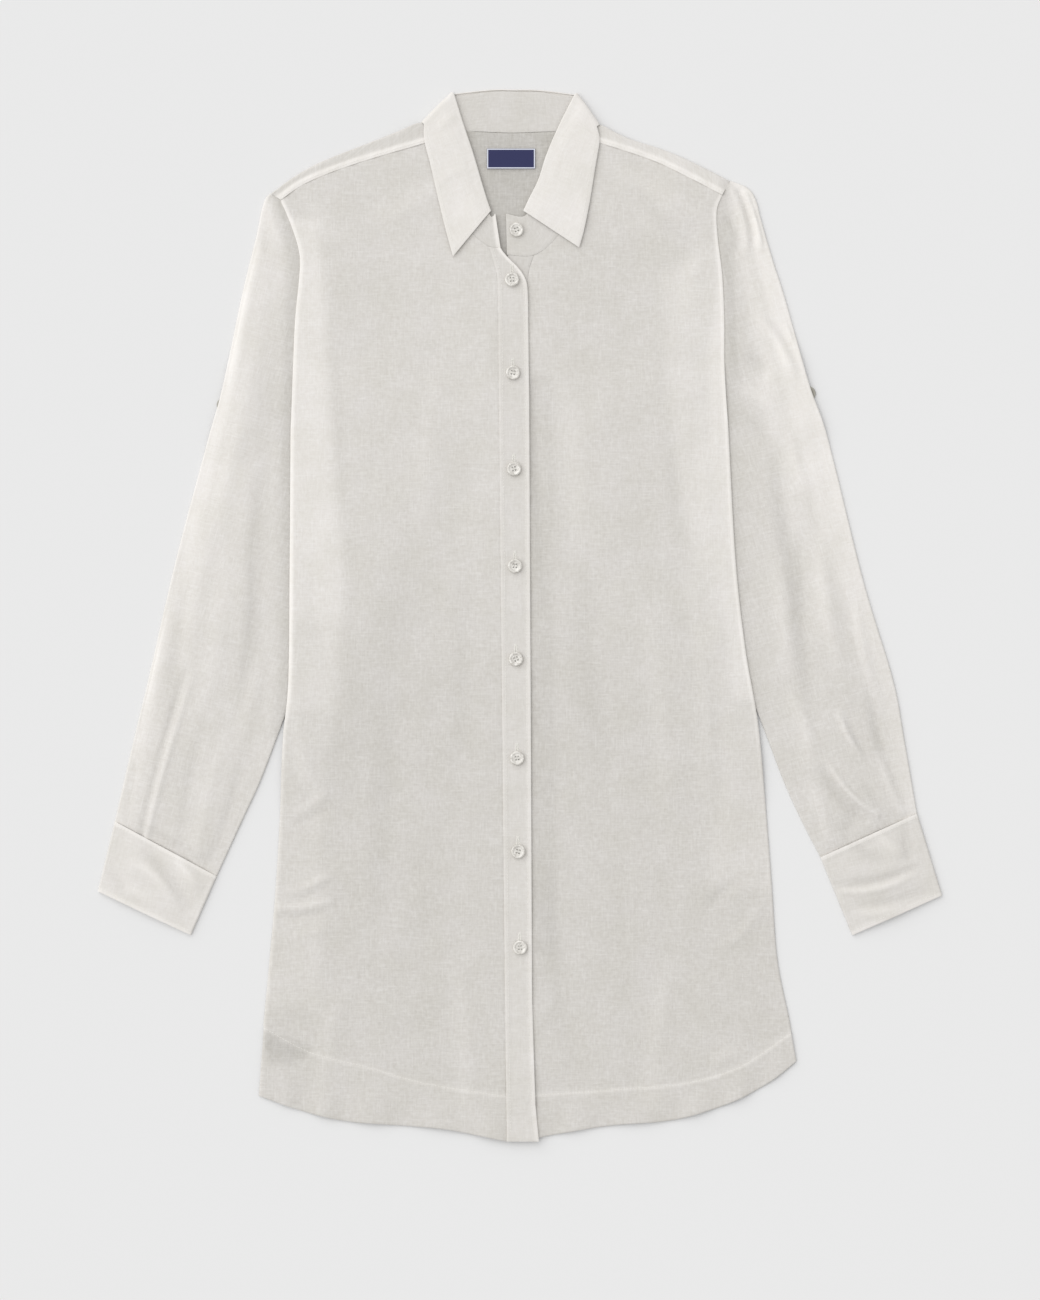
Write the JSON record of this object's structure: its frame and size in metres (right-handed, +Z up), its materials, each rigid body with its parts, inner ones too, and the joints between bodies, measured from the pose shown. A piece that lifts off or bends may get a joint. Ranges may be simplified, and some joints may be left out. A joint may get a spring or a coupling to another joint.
{
  "type": "linen shirt dress laid flat",
  "caption": "Long-sleeved linen shirt dress lying flat on its back, with a pointed collar, a buttoned front placket, wide cuffs and a curved hem.",
  "frame": {"origin": "centre of the garment's outline, on the surface that its back lies on", "axes": "+Y towards the collar, +X towards the wearer's left sleeve, +Z up from the back to the buttoned front"},
  "size_m": [0.7596, 0.9462, 0.0082],
  "materials": {
    "linen": "matt plain weave with uneven slub threads",
    "linen_doubled": "the same linen in two layers, topstitched along its edges",
    "button_pearl": "pearly polyester, polished",
    "label_tape": "dark blue woven tape with a pale edge, no lettering"
  },
  "bodies": {
    "root": {"front_right": "linen", "front_left": "linen", "back": "linen", "yoke": "linen", "sleeve_right": "linen", "sleeve_left": "linen", "cuff_right": "linen_doubled", "cuff_left": "linen_doubled", "collar_leaf": "linen_doubled", "collar_stand": "linen_doubled", "placket": "linen_doubled", "under_placket": "linen_doubled", "button_1": "button_pearl", "button_2": "button_pearl", "button_3": "button_pearl", "button_4": "button_pearl", "button_5": "button_pearl", "button_6": "button_pearl", "button_7": "button_pearl", "button_8": "button_pearl", "button_collar": "button_pearl", "button_tab_right": "button_pearl", "button_tab_left": "button_pearl", "neck_label": "label_tape"}
  },
  "joints": []
}
